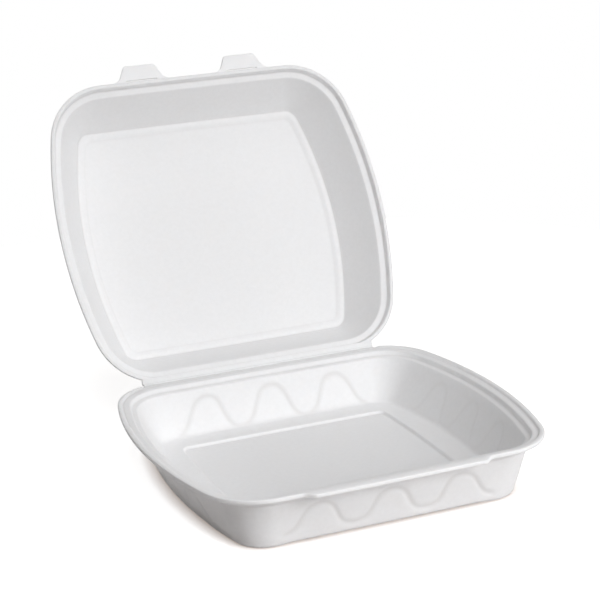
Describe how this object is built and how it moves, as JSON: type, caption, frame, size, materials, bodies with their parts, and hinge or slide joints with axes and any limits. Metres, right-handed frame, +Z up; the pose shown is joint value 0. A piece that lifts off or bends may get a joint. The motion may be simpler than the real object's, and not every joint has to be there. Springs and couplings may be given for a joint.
{
  "type": "foam clamshell container",
  "caption": "White foam hinged food container: a shallow tray with a stepped rim and wave-embossed walls, and a domed lid on a pressed crease with slotted locking tabs.",
  "frame": {"origin": "middle of the tray's flat base, on the table", "axes": "+Z up, +X along the crease, +Y from the locking lip at the front to the crease at the back"},
  "size_m": [0.24, 0.3427, 0.2245],
  "materials": {
    "foam": "satin foam skin"
  },
  "bodies": {
    "tray": {"tray": "foam"},
    "lid": {"lid": "foam"}
  },
  "joints": [
    {"name": "lid_hinge", "type": "hinge", "parent": "tray", "child": "lid", "pos_m": [0, 0.107, 0.03645], "axis": [-1, 0, 0], "range_deg": [-120.5, 59.5]}
  ]
}
